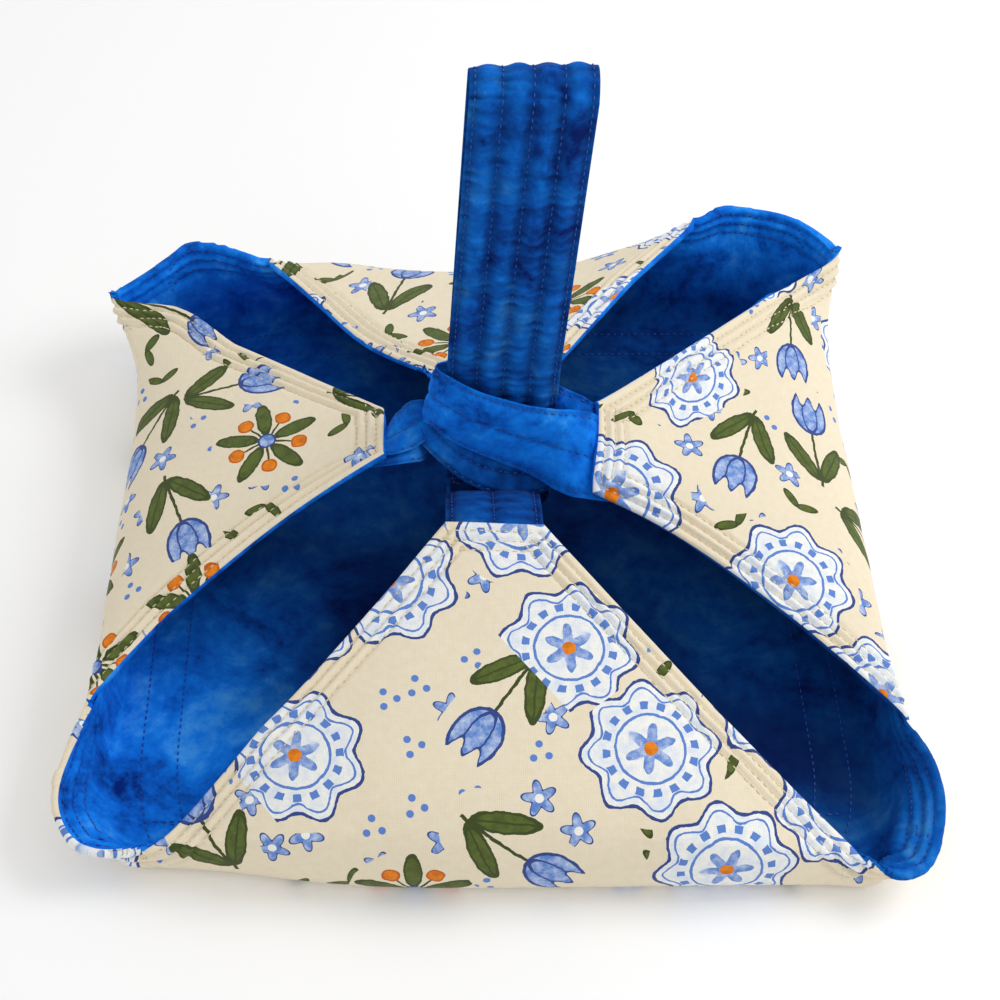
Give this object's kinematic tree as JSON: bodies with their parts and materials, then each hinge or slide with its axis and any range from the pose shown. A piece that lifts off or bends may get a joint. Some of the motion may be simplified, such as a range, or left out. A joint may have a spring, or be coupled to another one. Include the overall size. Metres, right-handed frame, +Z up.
{
  "type": "casserole carrier",
  "caption": "Quilted fabric carrier for a hot dish: a padded square base, folding flaps with loops at their tips, and a strap handle drawn up through the loops.",
  "frame": {"origin": "middle of the base's underside, on the table", "axes": "+Z up, -Y towards the front flap, +X towards the right flap"},
  "size_m": [0.3748, 0.3923, 0.283],
  "materials": {
    "printed_cotton": "matte woven cotton, cream with a small print in blue, olive and orange",
    "batting": "soft fibre sheet",
    "thermal_layer": "thin needled fibre with a dull reflective film",
    "dyed_cotton": "matte woven cotton, marbled royal blue",
    "strap_core": "folded fibre strip"
  },
  "bodies": {
    "base": {"base_outer": "printed_cotton", "base_batting": "batting", "base_thermal_layer": "thermal_layer", "base_lining": "dyed_cotton", "wall_outer": "printed_cotton", "wall_batting": "batting", "wall_thermal_layer": "thermal_layer", "wall_lining": "dyed_cotton"},
    "front_flap": {"front_flap_outer": "printed_cotton", "front_flap_batting": "batting", "front_flap_thermal_layer": "thermal_layer", "front_flap_lining": "dyed_cotton", "front_loop_cover": "dyed_cotton", "front_loop_core": "strap_core"},
    "right_flap": {"right_flap_outer": "printed_cotton", "right_flap_batting": "batting", "right_flap_thermal_layer": "thermal_layer", "right_flap_lining": "dyed_cotton", "right_loop_cover": "dyed_cotton", "right_loop_core": "strap_core"},
    "back_flap": {"back_flap_outer": "printed_cotton", "back_flap_batting": "batting", "back_flap_thermal_layer": "thermal_layer", "back_flap_lining": "dyed_cotton"},
    "left_flap": {"left_flap_outer": "printed_cotton", "left_flap_batting": "batting", "left_flap_thermal_layer": "thermal_layer", "left_flap_lining": "dyed_cotton", "left_loop_cover": "dyed_cotton", "left_loop_core": "strap_core"},
    "handle_leg": {"handle_leg_cover": "dyed_cotton", "handle_leg_core": "strap_core"},
    "handle_riser": {"handle_riser_cover": "dyed_cotton", "handle_riser_core": "strap_core"},
    "handle": {"handle_cover": "dyed_cotton", "handle_core": "strap_core"}
  },
  "joints": [
    {"name": "front_flap_fold", "type": "hinge", "parent": "base", "child": "front_flap", "pos_m": [0, -0.191, 0.018], "axis": [1, 0, 0], "range_deg": [0, 150], "deforming": ["front_loop_cover", "front_loop_core"]},
    {"name": "right_flap_fold", "type": "hinge", "parent": "base", "child": "right_flap", "pos_m": [0.181, 0, 0.018], "axis": [0, 1, 0], "range_deg": [0, 150], "deforming": ["right_loop_cover", "right_loop_core"]},
    {"name": "back_flap_fold", "type": "hinge", "parent": "base", "child": "back_flap", "pos_m": [0, 0.183, 0.018], "axis": [-1, 0, 0], "range_deg": [0, 150]},
    {"name": "left_flap_fold", "type": "hinge", "parent": "base", "child": "left_flap", "pos_m": [-0.181, 0, 0.018], "axis": [0, -1, 0], "range_deg": [0, 150], "deforming": ["left_loop_cover", "left_loop_core"]},
    {"name": "handle_leg_bend", "type": "hinge", "parent": "back_flap", "child": "handle_leg", "pos_m": [0, 0.043, 0.0784], "axis": [-1, 0, 0], "range_deg": [0, 97]},
    {"name": "handle_riser_bend", "type": "hinge", "parent": "handle_leg", "child": "handle_riser", "pos_m": [0, 0.02, 0.0275], "axis": [-1, 0, 0], "range_deg": [-154, 0]},
    {"name": "handle_swing", "type": "hinge", "parent": "handle_riser", "child": "handle", "pos_m": [0.0045, 0.01, 0.122], "axis": [1, 0, 0], "range_deg": [-70, 70]}
  ],
  "couplings": [
    {"joint": "handle_leg_bend", "follows": "back_flap_fold", "ratio": 0.64},
    {"joint": "handle_riser_bend", "follows": "back_flap_fold", "ratio": -1.02}
  ]
}
